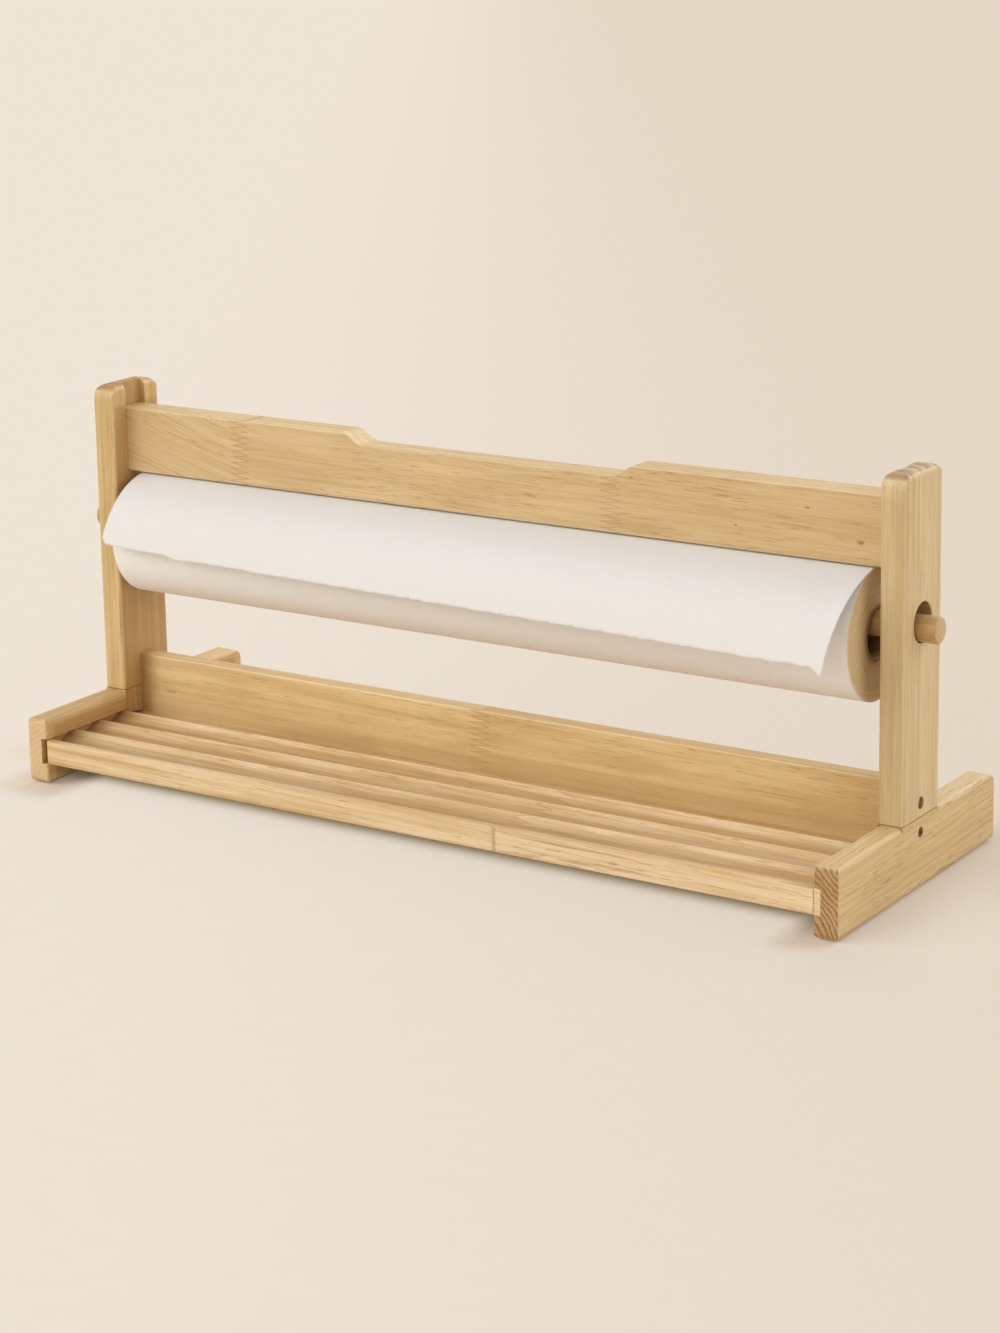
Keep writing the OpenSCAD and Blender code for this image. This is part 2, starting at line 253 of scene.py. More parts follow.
def makeTimberGrain():
    tree, given, out = newGroup("timberGrain", "ShaderNodeTree", [
        ("Turn", "Vector"), ("Pale", "Color"), ("Deep", "Color"), ("Pore", "Color"), "Seed", "Stave",
        "Stave Tone", "Pith Y", "Pith Z", "Rise", "Ring Width", "Ring Depth", "Streak Depth", "Arris", "Mark",
        "Rubbed", ("End Rings", "Float", 0.3), ("End Depth", "Float", 0.3), ("Stripe Depth", "Float", 0.3),
        ("Cloud Depth", "Float", 0.2), ("Pore Depth", "Float", 0.4), ("Line Depth", "Float", 0.3),
    ], [("Color", "Color"), "Roughness", "Height"])

    def turned(vector):
        node = tree.nodes.new("ShaderNodeVectorRotate")
        node.rotation_type = "EULER_XYZ"
        feed(vector, node.inputs["Vector"])
        feed(given["Turn"], node.inputs["Rotation"])
        return nodeValue(node.outputs[0])

    def grainNoise(name, detail=2.0, roughness=0.5, shift=(0, 0, 0)):
        return speckle(seeded + shift, grainRepeats[name], detail, roughness)

    def around(value, middle, depth, total):
        return (value - middle) * depth + total

    facing = split(abs(turned(coordinate(tree, "Normal"))))
    along, across, upward = split(turned(coordinate(tree)))
    upward = along * given["Rise"] + upward
    shift = given["Stave"] * 1.37 + given["Seed"]
    seeded = gather(along + shift, across + shift, shift * 0.7 + upward)

    # Rings
    radius = calc("LENGTH", gather(0.0, across - given["Pith Y"], upward - given["Pith Z"]))
    for name in ("drift", "wobble"):
        radius = around(grainNoise(name), 0.5, ringBend[name], radius)
    endFace = ramp(facing.x, 0.6, 0.85)
    radius = around(grainNoise("kink"), 0.5, endFace * ringBend["kink"], radius)
    ring = calc("FRACT", radius / given["Ring Width"])
    late = ramp(ring, 0.2, 0.93) * ramp(ring, 1.0, 0.94)
    tone = around(late, 0.4, given["Ring Depth"], given["Stave Tone"] + 0.5)

    # Broad stripes, fibres and slow changes of tone
    streak = grainNoise("streak", 3.0, 0.6)
    hair = grainNoise("hair", 2.0, 0.6)
    cloud = grainNoise("cloud")
    sideFace = 1.0 - endFace
    fine = around(ramp(grainNoise("stripe"), 0.3, 0.7), 0.5, given["Stripe Depth"], 0.0)
    fine = around(ramp(streak, 0.3, 0.72), 0.5, given["Streak Depth"], fine)
    tone = fine * sideFace + tone
    tone = around(ramp(cloud, 0.3, 0.7), 0.5, given["Cloud Depth"], tone)
    tone = around(hair, 0.5, 0.8, tone)
    colour = tint(most(calc("MINIMUM", tone, 1.0), 0.0), given["Pale"], given["Deep"])

    # Pores: short fine strokes, thicker in some patches, and a few long thin lines
    limit = ramp(grainNoise("patch", 1.0), 0.3, 0.7, 0.68, 0.56)
    pores = ramp(grainNoise("pit", 1.0, shift=(3.1, 1.7, 2.3)) - limit, 0.0, 0.12)
    vein = grainNoise("vein", 1.0, shift=(1.3, 4.7, 0.9))
    veins = ramp(vein, 0.7, 0.8) * sideFace * given["Line Depth"]
    dark = most(pores * given["Pore Depth"], veins)
    endTone = around(late, 0.4, given["End Rings"], around(cloud, 0.5, 0.4, given["End Depth"]))
    colour = tint(endFace * most(endTone, 0.0), colour, given["Pore"])

    # Arrises paled partly by sanding and partly as a painted highlight, together with the paler or
    # highlighted places the board gives, then what is dark on top
    broadest = most(facing.x, facing.y, facing.z)
    alongArris = ramp(broadest, 0.985, 0.8) * (1.0 - facing.x)
    rubbed = most(alongArris * given["Arris"], given["Rubbed"])
    colour = tint(rubbed, colour, tint(0.35, given["Pale"], paleAndHighlightColour))
    colour = tint(most(dark, given["Mark"]), colour, given["Pore"])
    feed(colour, out["Color"])
    feed(dark * 0.3 + tone * 0.1 + 0.42, out["Roughness"])
    feed(hair * 0.2 + streak * 0.25 - dark * 0.8, out["Height"])
    return tree


# Finger joint: a toothed glue line at one place along X. The teeth run across Z, or across Y where
# Across Y is 1.
def makeFingerJoint():
    tree, given, out = newGroup("fingerJoint", "ShaderNodeTree", [
        "Place", "Tooth Length", "Tooth Pitch", ("Across Y", "Float", 0.0), ("Line", "Float", 0.0004),
    ], ["Beyond", "Glue Line"])
    along, across, upward = split(coordinate(tree))
    side = across * given["Across Y"] + upward * (1.0 - given["Across Y"])
    tooth = calc("PINGPONG", side / given["Tooth Pitch"], 0.5)
    edge = (tooth - 0.25) * (given["Tooth Length"] * 2.0) + given["Place"]
    ahead = along - edge
    feed(calc("GREATER_THAN", ahead, 0.0), out["Beyond"])
    # the slanted flank is seen thinner than it is long, so the line is measured across it
    slant = given["Tooth Length"] * 2.0 / given["Tooth Pitch"]
    thick = given["Line"] * calc("SQRT", slant * slant + 1.0)
    feed(ramp(abs(ahead), thick, 0.0), out["Glue Line"])
    return tree


# A small knot or fleck: an oval spot in board coordinates
def makeKnotMark():
    tree, given, out = newGroup("knotMark", "ShaderNodeTree",
                                [("Centre", "Vector"), ("Half Size", "Vector")], ["Mask"])
    place = coordinate(tree)
    away = (place - given["Centre"]) / given["Half Size"]
    ragged = speckle(place, (500, 900, 900)) * 0.9
    feed(ramp(calc("LENGTH", away) + ragged, 1.5, 0.5), out["Mask"])
    return tree


# A box in the board that is darker: painted shade on the walls of a groove, hole or housing or on a shaded
# face, or a dark joint line
def makeShadeAndJointBox():
    tree, given, out = newGroup("cutPocket", "ShaderNodeTree",
                                [("Centre", "Vector"), ("Half Size", "Vector")], ["Mask"])
    place = coordinate(tree)
    share = abs((place - given["Centre"]) / given["Half Size"])
    feed(ramp(most(*split(share)), 1.0, 0.96), out["Mask"])
    return tree


timberGrain, fingerJoint = makeTimberGrain(), makeFingerJoint()
knotMark, cutPocket = makeKnotMark(), makeShadeAndJointBox()
grainTurn = {"X": (0, 0, 0), "Y": (0, 0, -math.pi / 2), "Z": (0, math.pi / 2, 0)}


def makeTimber(name, grain, joints=(), knots=(), pockets=(), shaded=None, toned=None, rubbed=None, rise=0.0,
               firstRise=None, toneSteps=(), **values):
    # three optional functions say where the board is darkened as painted shade, where it is deeper or paler
    # by the way it faces as painted shading, and where it is paler, as at sawn ends or as a painted highlight
    finish, tree, shader, height = newFinish(name, bump=oil["relief"])
    shader["Coat Weight"].default_value = oil["coat"]
    shader["Coat Roughness"].default_value = oil["coatRoughness"]
    stave, marks, firstStave, staveTone = 0.0, 0.0, 1.0, 0.0
    for number, joint in enumerate(joints):
        made = useGroup(tree, fingerJoint, **joint)
        stave = made["Beyond"] + stave
        if number < len(toneSteps):
            staveTone = made["Beyond"] * toneSteps[number] + staveTone
        firstStave = (1.0 - made["Beyond"]) * firstStave
        marks = most(made["Glue Line"] * 0.5, marks)
    for centre, halfSize in knots:
        made = useGroup(tree, knotMark, centre=centre, halfSize=halfSize)
        marks = most(made["Mask"], marks)
    for *spans, depth in pockets:
        centre = [(low + high) / 2 for low, high in spans]
        halfSize = [(high - low) / 2 for low, high in spans]
        made = useGroup(tree, cutPocket, centre=centre, halfSize=halfSize)
        marks = most(made["Mask"] * depth, marks)
    if toned:
        staveTone = toned(tree) + staveTone
    if shaded:
        marks = most(shaded(tree), marks)
    if firstRise is not None:
        rise = firstStave * (firstRise - rise) + rise
    made = useGroup(tree, timberGrain, turn=grainTurn[grain], stave=stave, mark=marks, rise=rise,
                    staveTone=staveTone, rubbed=rubbed(tree) if rubbed else 0.0, **values)
    feed(made["Color"], shader["Base Color"])
    feed(made["Roughness"], shader["Roughness"])
    feed(made["Height"], height)
    return finish


# Paper and card
def makePaperFibre():
    tree, given, out = newGroup("paperFibre", "ShaderNodeTree", [
        ("Light", "Color"), ("Shade", "Color"), "Mottle", "Cockle", ("Fibre Size", "Float", 0.0006),
    ], [("Color", "Color"), "Roughness", "Height"])
    place = coordinate(tree)
    size = 1.0 / given["Fibre Size"]
    fibre = speckle(place, gather(size, size * 0.6, size), 3.0, 0.6)
    flock = speckle(place, (240, 240, 240))
    wave = speckle(place, (13, 22, 22), 1.0)
    tone = (flock * 0.6 + fibre * 0.4) * given["Mottle"]
    feed(tint(tone, given["Light"], given["Shade"]), out["Color"])
    feed(fibre * 0.2 + 0.62, out["Roughness"])
    feed(fibre * 0.12 + wave * given["Cockle"], out["Height"])
    return tree


# Layers of a roll seen on its end: thin rings at even and uneven spacing round an axis along X
def makeLayerLines():
    tree, given, out = newGroup("layerLines", "ShaderNodeTree", [
        "Axis Height", ("Layer", "Float", 0.0009),
    ], ["Lines", "Distance", "End Face"])
    place = coordinate(tree)
    along, across, upward = split(place)
    away = calc("LENGTH", gather(0.0, across, upward - given["Axis Height"]))
    turns = (speckle(place, (30, 30, 30), 1.0) * 0.0012 + away) / given["Layer"]
    fine = speckle(gather(turns), (1.6, 1, 1), 2.0, 0.7)
    broad = speckle(gather(turns, 7.0), (0.4, 1, 1), 1.0)
    lines = ramp(fine, 0.4, 0.66) * 0.75 + ramp(broad, 0.35, 0.65) * 0.25
    feed(lines, out["Lines"])
    feed(away, out["Distance"])
    feed(ramp(split(abs(coordinate(tree, "Normal"))).x, 0.45, 0.8), out["End Face"])
    return tree


paperFibre, layerLines = makePaperFibre(), makeLayerLines()
paperColours = {
    "light": srgb(236, 236, 238), "shade": srgb(226, 224, 225), "handled": srgb(222, 213, 203),
    # the roll's paper is paler than the sheet's: painted light that offsets the shade it lies in under the
    # sheet
    "rollLight": srgb(246, 246, 246), "rollShade": srgb(236, 234, 232),
    # the ends' tan is partly the layers' own colour and partly painted shade and warm light thrown back from
    # the upright
    "cut": srgb(250, 228, 186), "gap": srgb(206, 166, 110),  # the roll's ends
    "card": srgb(176, 140, 98), "cardShade": srgb(132, 98, 62), "cardSeam": srgb(96, 66, 40),
}
rollEnd = {"innerShade": 0.017, "rimFrom": 0.0016, "rimTo": 0.0008}  # metres in from the rim
cardTube = {"ply": 0.0003, "seamPitch": 0.055, "seamWidth": 0.02}  # the width is a share of the pitch
freeEdgeShadeSpan = (0.03, -0.016)  # height over the roll's axis where it starts, and where it is whole


def makeSheetPaper(name, axisHeight):
    finish, tree, shader, height = newFinish(name, bump=0.0006)
    made = useGroup(tree, paperFibre, light=paperColours["light"], shade=paperColours["shade"],
                    mottle=0.7, cockle=0.5)
    # painted shade: a little darker towards the free edge
    above, below = freeEdgeShadeSpan
    handled = ramp(split(coordinate(tree)).z, axisHeight + above, axisHeight + below, 0.0, 0.5)
    feed(tint(handled, made["Color"], paperColours["handled"]), shader["Base Color"])
    feed(made["Roughness"], shader["Roughness"])
    feed(made["Height"], height)
    return finish


def makeRollPaper(name, axisHeight, outerRadius):
    finish, tree, shader, height = newFinish(name, bump=0.0006)
    made = useGroup(tree, paperFibre, light=paperColours["rollLight"], shade=paperColours["rollShade"],
                    mottle=0.8, cockle=0.6)
    rings = useGroup(tree, layerLines, axisHeight=axisHeight)
    inward = ramp(rings["Distance"], outerRadius, outerRadius - rollEnd["innerShade"], 0.0, 0.25)
    cut = tint(rings["Lines"] * 0.65 + inward, paperColours["cut"], paperColours["gap"])
    rim = ramp(rings["Distance"], outerRadius - rollEnd["rimFrom"], outerRadius - rollEnd["rimTo"], 0.0, 0.7)
    cut = tint(rim, cut, paperColours["rollLight"])
    feed(tint(rings["End Face"], made["Color"], cut), shader["Base Color"])
    feed(made["Roughness"], shader["Roughness"])
    feed(made["Height"] - rings["Lines"] * rings["End Face"] * 0.5, height)
    return finish


def makeCoreCard(name, axisHeight):
    finish, tree, shader, height = newFinish(name, bump=0.0003)
    made = useGroup(tree, paperFibre, light=paperColours["card"], shade=paperColours["cardShade"],
                    fibreSize=0.0004, mottle=0.9, cockle=0.1)
    rings = useGroup(tree, layerLines, axisHeight=axisHeight, layer=cardTube["ply"])
    ply = rings["Lines"] * rings["End Face"] * 0.5
    # the spiral seam of the tube's winding
    along, across, upward = split(coordinate(tree))
    turn = calc("ARCTAN2", across, upward - axisHeight) / (2 * math.pi)
    spiral = calc("FRACT", along / cardTube["seamPitch"] + turn)
    seam = ramp(abs(spiral - 0.5), cardTube["seamWidth"], 0.0) * (1.0 - rings["End Face"])
    dark = most(ply, seam * 0.6)
    feed(tint(dark, made["Color"], paperColours["cardSeam"]), shader["Base Color"])
    feed(made["Roughness"], shader["Roughness"])
    feed(made["Height"] - dark, height)
    return finish


steel = {"light": srgb(232, 222, 204), "dull": srgb(176, 162, 140), "metallic": 0.4}


def makeScrewSteel(name):
    finish, tree, shader, height = newFinish(name, bump=0.00005)
    place = coordinate(tree)
    brushed = speckle(place, (900, 2600, 2600))
    dull = speckle(place, (260, 260, 260))
    feed(tint(ramp(dull, 0.35, 0.7), steel["light"], steel["dull"]), shader["Base Color"])
    shader["Metallic"].default_value = steel["metallic"]
    feed(ramp(brushed, 0.3, 0.7, 0.28, 0.5), shader["Roughness"])
    feed(brushed, height)
    return finish


print("finishes ready")


# Floor and light. A pair is where an effect starts and where it is whole, in metres.
room = {
    "floor": srgb(235, 222, 207), "floorLight": srgb(239, 229, 216), "floorDark": srgb(229, 215, 199),
    "floorRadius": 30.0, "horizonFade": (10.0, 26.0),
    "acrossView": (0.837, 0.547, 0.0), "darkenAcross": (-0.35, 0.35),
    "shadowDepth": 0.13, "contactDepth": 0.85,  # how much of the shadow shows: far off, and close by
    "contactFront": (-0.068, -0.046), "contactRear": (0.14, 0.09), "contactEnds": (0.33, 0.26),
    "contactRight": (0.236, 0.252), "rightEnd": (0.33, 0.28),
    "rightFront": (-0.16, -0.08), "rightRear": (0.2, 0.1),
    "contactTint": (0.93, 0.975, 1.03, 1.0),
    "closeFront": (-0.075, -0.054), "closeRear": (-0.018, -0.046), "closeEnds": (0.245, 0.232),
    "closeTint": (0.42, 0.36, 0.25, 1.0),
    "footMiddle": 0.24, "footSides": (0.03, 0.012), "footEnds": (0.115, 0.094),
    "skyColour": srgb(255, 244, 220), "skyStrength": 0.3,
    "sunWidth": 50,  # degrees
}
suns = [  # name, direction it comes from, strength
    ("frontLight", (-0.1, -1.0, 0.6), 0.72),
    ("leftFrontLight", (-0.75, -0.75, 0.7), 1.23),
    ("backLight", (0.0, 1.0, 0.8), 1.02),
    ("rightBackLight", (0.75, 0.75, 0.8), 0.87),
    ("leftBackLight", (-0.7, 0.7, 0.8), 0.08),
    ("rightLight", (1.0, -0.35, 0.12), 0.88),
]


def mixSurfaces(tree, share, first, second, output):
    choose = tree.nodes.new("ShaderNodeMixShader")
    feedAll((share, first.outputs[0], second.outputs[0]), choose.inputs)
    feed(choose.outputs[0], tree.nodes[output].inputs[0])


def layFloor(values):
    bm = bmesh.new()
    bmesh.ops.create_circle(bm, cap_ends=True, segments=64, radius=values["floorRadius"])
    mesh = bpy.data.meshes.new("studioFloor")
    bm.to_mesh(mesh)
    bm.free()
    floor = newObject("studioFloor", mesh)
    finish, tree, shader, height = newFinish("floorPaint", roughness=0.9, bump=0.0002)
    place = coordinate(tree)
    # painted light: the floor is lighter to the left across the view and darker to the right
    sideways = calc("DOT_PRODUCT", place, values["acrossView"])
    base = tint(ramp(sideways, *values["darkenAcross"]), values["floorLight"], values["floorDark"])
    base = tint(ramp(calc("LENGTH", place), *values["horizonFade"]), base, values["floor"])
    mottle = speckle(place, (60, 60, 60), 3.0)
    paint = tint(ramp(mottle, 0.3, 0.7, 0.0, 0.12), base, values["floorDark"])
    shader["Specular IOR Level"].default_value = 0.2
    feed(speckle(place, (700, 700, 700)), height)
    # beneath the stand, at its right end, where the shelf comes close to the table, and round the feet
    x, y, z = split(place)
    out = abs(x)

    def zone(value, name):
        return ramp(value, *values[name])

    under = zone(y, "contactFront") * zone(y, "contactRear") * zone(out, "contactEnds")
    beside = zone(x, "contactRight") * zone(x, "rightEnd") * zone(y, "rightFront") * zone(y, "rightRear")
    close = zone(y, "closeFront") * zone(y, "closeRear") * zone(out, "closeEnds")
    atFeet = zone(abs(out - values["footMiddle"]), "footSides") * zone(abs(y), "footEnds")
    # painted shadow: the floor paint is darkened beside the right foot and under the shelf's front edge
    paint = tint(beside, paint, values["contactTint"], "MULTIPLY")
    paint = tint(close, paint, values["closeTint"], "MULTIPLY")
    feed(paint, shader["Base Color"])
    # seen by the camera, the floor keeps only part of the object's shadow, as a lit backdrop does
    glow = tree.nodes.new("ShaderNodeEmission")
    feed(paint, glow.inputs[0])
    contact = most(under, beside, atFeet)
    depth = ramp(contact, 0.0, 1.0, values["shadowDepth"], values["contactDepth"], smooth=False)
    byCamera = nodeValue(tree.nodes.new("ShaderNodeLightPath").outputs["Is Camera Ray"])
    mixSurfaces(tree, byCamera * (1.0 - depth), tree.nodes["Principled BSDF"], glow, "Material Output")
    floor.data.materials.append(finish)


def hangSuns(rows, width):
    for name, comesFrom, strength in rows:
        data = bpy.data.lights.new(name, "SUN")
        data.energy, data.angle = strength, math.radians(width)
        sun = newObject(name, data)
        sun.rotation_mode = "QUATERNION"
        sun.rotation_quaternion = Vector(comesFrom).to_track_quat("Z", "Y")


def lightSky(values):
    world = bpy.data.worlds.new("studioSky")
    world.use_nodes = True
    tree = world.node_tree
    sky = tree.nodes["Background"]
    sky.inputs[0].default_value, sky.inputs[1].default_value = values["skyColour"], values["skyStrength"]
    seen = tree.nodes.new("ShaderNodeBackground")
    seen.inputs[0].default_value, seen.inputs[1].default_value = values["floor"], 1.0
    rays = tree.nodes.new("ShaderNodeLightPath").outputs
    shown = most(nodeValue(rays["Is Camera Ray"]), nodeValue(rays["Is Glossy Ray"]))
    mixSurfaces(tree, shown, sky, seen, "World Output")
    bpy.context.scene.world = world


layFloor(room)
hangSuns(suns, room["sunWidth"])
lightSky(room)
bpy.context.scene.view_settings.view_transform = "Standard"
print("floor and light set")


# Boards: the stand's own shapes with their last sharp edges eased
def addPiece(name, bm, finish, body, replaced, sharpAngle=32):
    mesh = bpy.data.meshes.new(name)
    bm.normal_update()
    bm.to_mesh(mesh)
    bm.free()
    mesh.shade_smooth()
    mesh.set_sharp_from_angle(angle=math.radians(sharpAngle))
    mesh.materials.append(finish)
    piece = newObject(name, mesh)
    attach(piece, body)
    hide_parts(replaced)
    return piece


def easeBoard(node, body, finish, ease=0.0003, edgeAngle=38, reshape=None):
    bm = bmesh.new()
    bm.from_mesh(boards[node].data)
    bmesh.ops.remove_doubles(bm, verts=bm.verts, dist=1e-6)
    bmesh.ops.dissolve_limit(bm, angle_limit=math.radians(0.6), verts=bm.verts, edges=bm.edges)
    if reshape:
        reshape(bm)
    sharp = [e for e in bm.edges if e.is_manifold and e.calc_face_angle() > math.radians(edgeAngle)]
    bmesh.ops.bevel(bm, geom=sharp, offset=ease, offset_type="OFFSET", segments=2, profile=0.5,
                    affect="EDGES", clamp_overlap=True)
    bmesh.ops.triangulate(bm, faces=[f for f in bm.faces if len(f.verts) > 4])
    bmesh.ops.recalc_face_normals(bm, faces=bm.faces)
    piece = addPiece(node + "_board", bm, finish, body, node)
    weigh = piece.modifiers.new("flatFaces", "WEIGHTED_NORMAL")
    weigh.keep_sharp, weigh.mode = True, "FACE_AREA"


def boardTone(red, green, blue, spread=13, deep=None, pore=None):
    # the pale, deep and pore colours of a board from its middle colour
    return {"pale": srgb(red + 0.8 * spread, green + 0.95 * spread, blue + 1.1 * spread),
            "deep": deep or srgb(red - 1.1 * spread, green - 1.35 * spread, blue - 1.6 * spread),
            "pore": pore or srgb(red * 0.68, green * 0.565, blue * 0.39)}


def sawnEnd(axis, depth):
    # ends sawn across the grain, paler than the board's faces
    def mask(tree):
        return ramp(split(abs(coordinate(tree, "Normal")))["XYZ".index(axis)], 0.8, 0.95, 0.0, depth)
    return mask


railBoard = {
    "seed": 2.0, "pithY": 0.03, "pithZ": 0.17, "rise": 0.02, "ringWidth": 0.006, "ringDepth": 0.22,
    "endRings": 0.6, "stripeDepth": 0.25, "streakDepth": 0.4, "cloudDepth": 0.3, "poreDepth": 0.42,
    "lineDepth": 0.25, "endDepth": 0.2, "arris": 0.5, **boardTone(207, 178, 129),
    "joints": [{"place": -0.1555, "toothLength": 0.011, "toothPitch": 0.0032},
               {"place": 0.078, "toothLength": 0.012, "toothPitch": 0.0032, "line": 0.0003}],
    "firstRise": 0.28, "toneSteps": (0.0, 0.2),
    "knots": [((0.2175, -0.008, 0.172), (0.0028, 0.006, 0.0014)),  # middle, half size
              ((0.1886, -0.008, 0.1862), (0.0022, 0.006, 0.0007)),
              ((0.1493, -0.008, 0.1731), (0.0014, 0.006, 0.0007)),
              ((0.0901, -0.008, 0.1906), (0.0018, 0.006, 0.0006))],
}
easeBoard("top_rail", "rail", makeTimber("railTimber", "X", **railBoard))

panelBoard = {
    "seed": 7.0, "pithY": 0.06, "pithZ": 0.02, "rise": 0.01, "ringWidth": 0.005, "ringDepth": 0.2,
    "endRings": 0.5, "stripeDepth": 0.55, "streakDepth": 0.35, "cloudDepth": 0.55, "poreDepth": 0.38,
    "lineDepth": 0.35, "endDepth": 0.2, "arris": 0.4, **boardTone(223, 194, 139),
    "joints": [{"place": -0.005, "toothLength": 0.012, "toothPitch": 0.0032, "line": 0.0004}],
    "toneSteps": (0.35,),
}
panelPaintedShade = {"foot": (0.018, 0.006), "footDepth": 0.28, "corner": 0.016, "cornerDepth": 0.75,
              "farCorner": 0.03, "farDepth": 0.2}
panelLow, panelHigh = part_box("back_panel")
# painted shade on the panel's top face, under the roll
panelTopShade = ((panelLow.x - 0.01, panelHigh.x + 0.01), (panelLow.y + 0.0006, panelHigh.y - 0.0004),
           (panelHigh.z - 0.0008, panelHigh.z + 0.001), 0.4)  # from and to along X, Y and Z, and how dark


def panelShade(tree):
    # painted shade along the panel's foot and in the corners at its ends
    x, y, z = split(coordinate(tree))
    foot = ramp(z, *(panelLow.z + above for above in panelPaintedShade["foot"]), 0.0, panelPaintedShade["footDepth"])
    corner = ramp(x, panelLow.x + panelPaintedShade["corner"], panelLow.x, 0.0, panelPaintedShade["cornerDepth"])
    farCorner = ramp(x, panelHigh.x - panelPaintedShade["farCorner"], panelHigh.x, 0.0, panelPaintedShade["farDepth"])
    return most(foot, corner, farCorner)


panelTimber = makeTimber("panelTimber", "X", pockets=[panelTopShade], shaded=panelShade, **panelBoard)
easeBoard("back_panel", "frame", panelTimber)

shelfBoard = {
    "seed": 11.0, "pithY": -0.03, "pithZ": -0.05, "rise": 0.02, "ringWidth": 0.006, "ringDepth": 0.2,
    "endRings": 0.6, "stripeDepth": 0.5, "streakDepth": 0.6, "cloudDepth": 0.4, "poreDepth": 0.45,
    "lineDepth": 0.5, "endDepth": 0.3, "arris": 0.0, **boardTone(223, 195, 153, deep=srgb(205, 167, 108)),
    "joints": [{"place": 0.0594, "toothLength": 0.011, "toothPitch": 0.0036, "acrossY": 1.0, "line": 0.0003}],
    "toneSteps": (-0.15,),
}
shelfLow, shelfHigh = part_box("shelf")
channels = {
    "paleWithin": 0.0006, "shadeFrom": 0.001, "shadeTo": 0.0042,  # metres below the crests
    "crestDepth": 0.3, "shadeDepth": 0.36, "endDepth": 0.5, "ends": (0.212, 0.236),
    "frontTone": -0.18, "topTone": 0.22, "facingUp": (0.2, 0.45),
}


def channelShade(tree):
    # painted shade: darker deeper in the channels than on their crests, and darkest at their ends
    x, y, z = split(coordinate(tree))
    facingUp = ramp(split(coordinate(tree, "Normal")).z, *channels["facingUp"])
    lowness = ramp(z, shelfHigh.z - channels["shadeFrom"], shelfHigh.z - channels["shadeTo"])
    ends = ramp(abs(x), *channels["ends"], 0.0, channels["endDepth"])
    return facingUp * most(lowness * channels["shadeDepth"], ends)


# painted highlight: the crests and flat tops of the shelf are paled
def crestHighlight(tree):
    height = split(coordinate(tree)).z
    return ramp(height, shelfHigh.z - channels["paleWithin"], shelfHigh.z, 0.0, channels["crestDepth"])


def topTone(tree):
    # painted shade and light: the upward, channelled face is deeper in tone and the front paler
    up = split(coordinate(tree, "Normal")).z
    return ramp(up, *channels["facingUp"], channels["frontTone"], channels["topTone"])


shelfTimber = makeTimber("shelfTimber", "X", shaded=channelShade, toned=topTone, rubbed=crestHighlight,
                         **shelfBoard)
easeBoard("shelf", "frame", shelfTimber)

footBoard = {
    "ringWidth": 0.0028, "ringDepth": 0.2, "stripeDepth": 0.3, "streakDepth": 0.5, "cloudDepth": 0.25,
    "poreDepth": 0.45, "lineDepth": 0.5, "arris": 0.12,
}
feet = {
    # the left foot's pore colour is warm and deep, also for the painted shade on its inner face
    "left": {"seed": 17.0, "pithY": 0.2215, "pithZ": 0.0, "endRings": 0.45, "endDepth": 0.0,
             **boardTone(208, 174, 119, pore=srgb(164, 108, 44))},
    "right": {"seed": 19.0, "pithY": -0.2105, "pithZ": -0.006, "endRings": 0.6, "endDepth": 0.72,
              **boardTone(213, 184, 134)},
}
uprightBoard = {
    "rise": 0.004, "ringWidth": 0.0085, "ringDepth": 0.25, "endRings": 0.7, "stripeDepth": 0.4,
    "streakDepth": 0.45, "cloudDepth": 0.3, "poreDepth": 0.35, "lineDepth": 0.6, "endDepth": 0.85,
    "arris": 0.22,
}
uprights = {
    # the left upright's pore colour is warm and deep, also for the painted shade on its inner face
    "left": {"seed": 23.0, "pithY": 0.09, "pithZ": 0.24, **boardTone(208, 177, 121, pore=srgb(156, 104, 44))},
    "right": {"seed": 29.0, "pithY": 0.09, "pithZ": -0.24, **boardTone(210, 186, 141)},
}
# painted shade on the inner faces of the side boards, deeper on the left
innerFaceShade = {"left": 0.4, "right": 0.1}
# painted shade on the right upright's front face
frontTone = {"left": 0.0, "right": 0.14}
endPaleness = {"left": 0.45, "right": 0.0}  # of the feet
footLow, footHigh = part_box("right_foot")
railLow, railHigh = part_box("top_rail")
rodLow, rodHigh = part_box("rod")
rodRadius, rodHeight = (rodHigh.z - rodLow.z) / 2, (rodHigh.z + rodLow.z) / 2
innerFace, outerFace = footLow.x, footHigh.x
wholeBoard = (innerFace - 0.001, outerFace + 0.001)
innerSkin = (innerFace - 0.0002, innerFace + 0.0002)
screwDepth = (outerFace - 0.004, outerFace - 0.0002)

